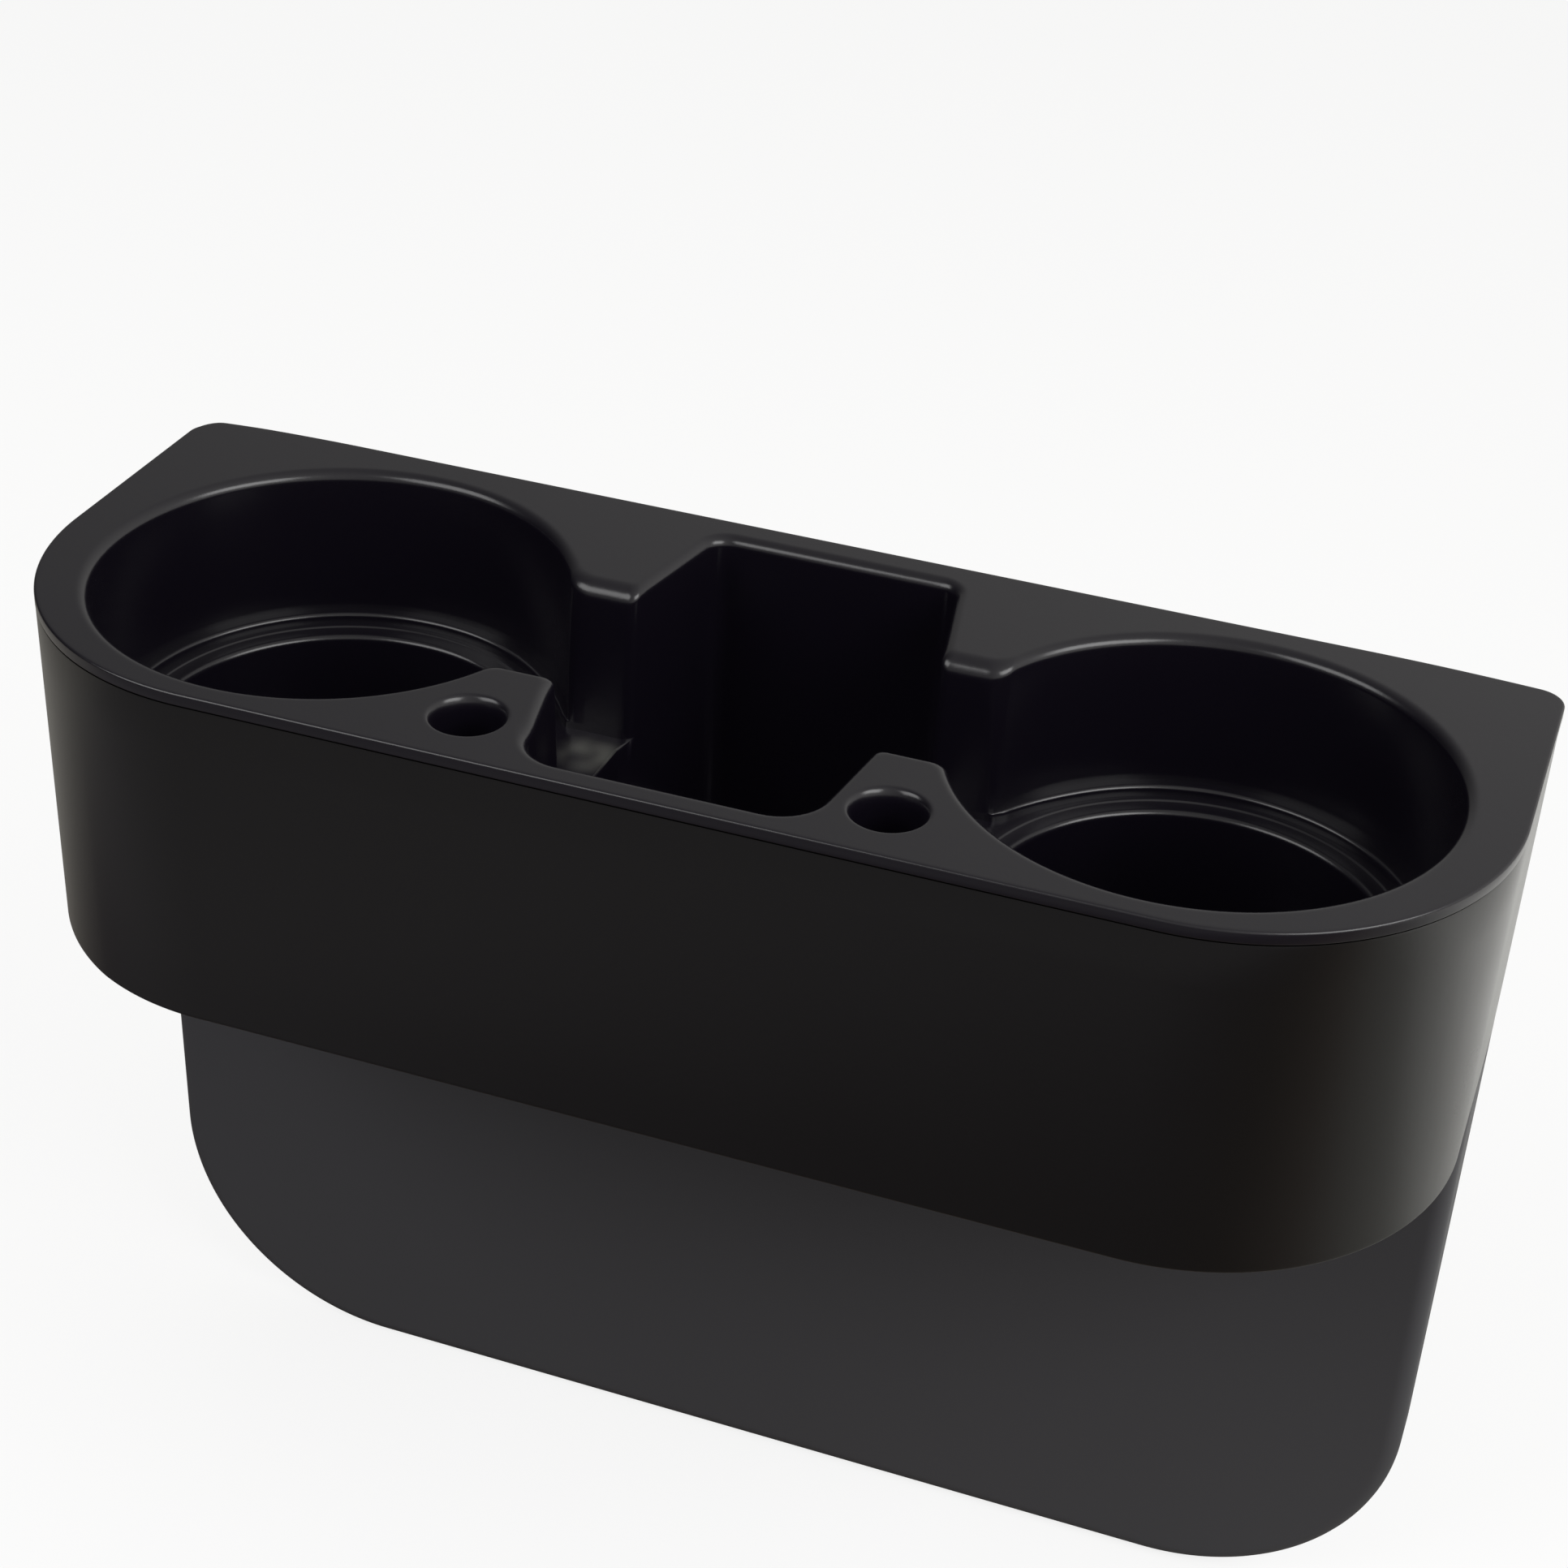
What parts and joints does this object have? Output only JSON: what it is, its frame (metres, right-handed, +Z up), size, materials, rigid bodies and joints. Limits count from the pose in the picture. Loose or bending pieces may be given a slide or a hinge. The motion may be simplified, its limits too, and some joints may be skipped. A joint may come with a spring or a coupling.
{
  "type": "car cup holder",
  "caption": "Car cup holder that wedges in the gap beside a seat, with cups, a centre pocket and pen holes.",
  "frame": {"origin": "middle of the length, in the inner corner where the wedge's front face meets the underside of the body", "axes": "+Z up, +X along the length to the right of somebody who faces the cups' front, +Y to the flat back"},
  "size_m": [0.27, 0.0994, 0.2002],
  "materials": {
    "tray_plastic": "fine satin grain, softly glossy on the rounded edges",
    "shell_plastic": "smooth satin black"
  },
  "bodies": {
    "root": {"shell": "shell_plastic", "tray": "tray_plastic"}
  },
  "joints": []
}
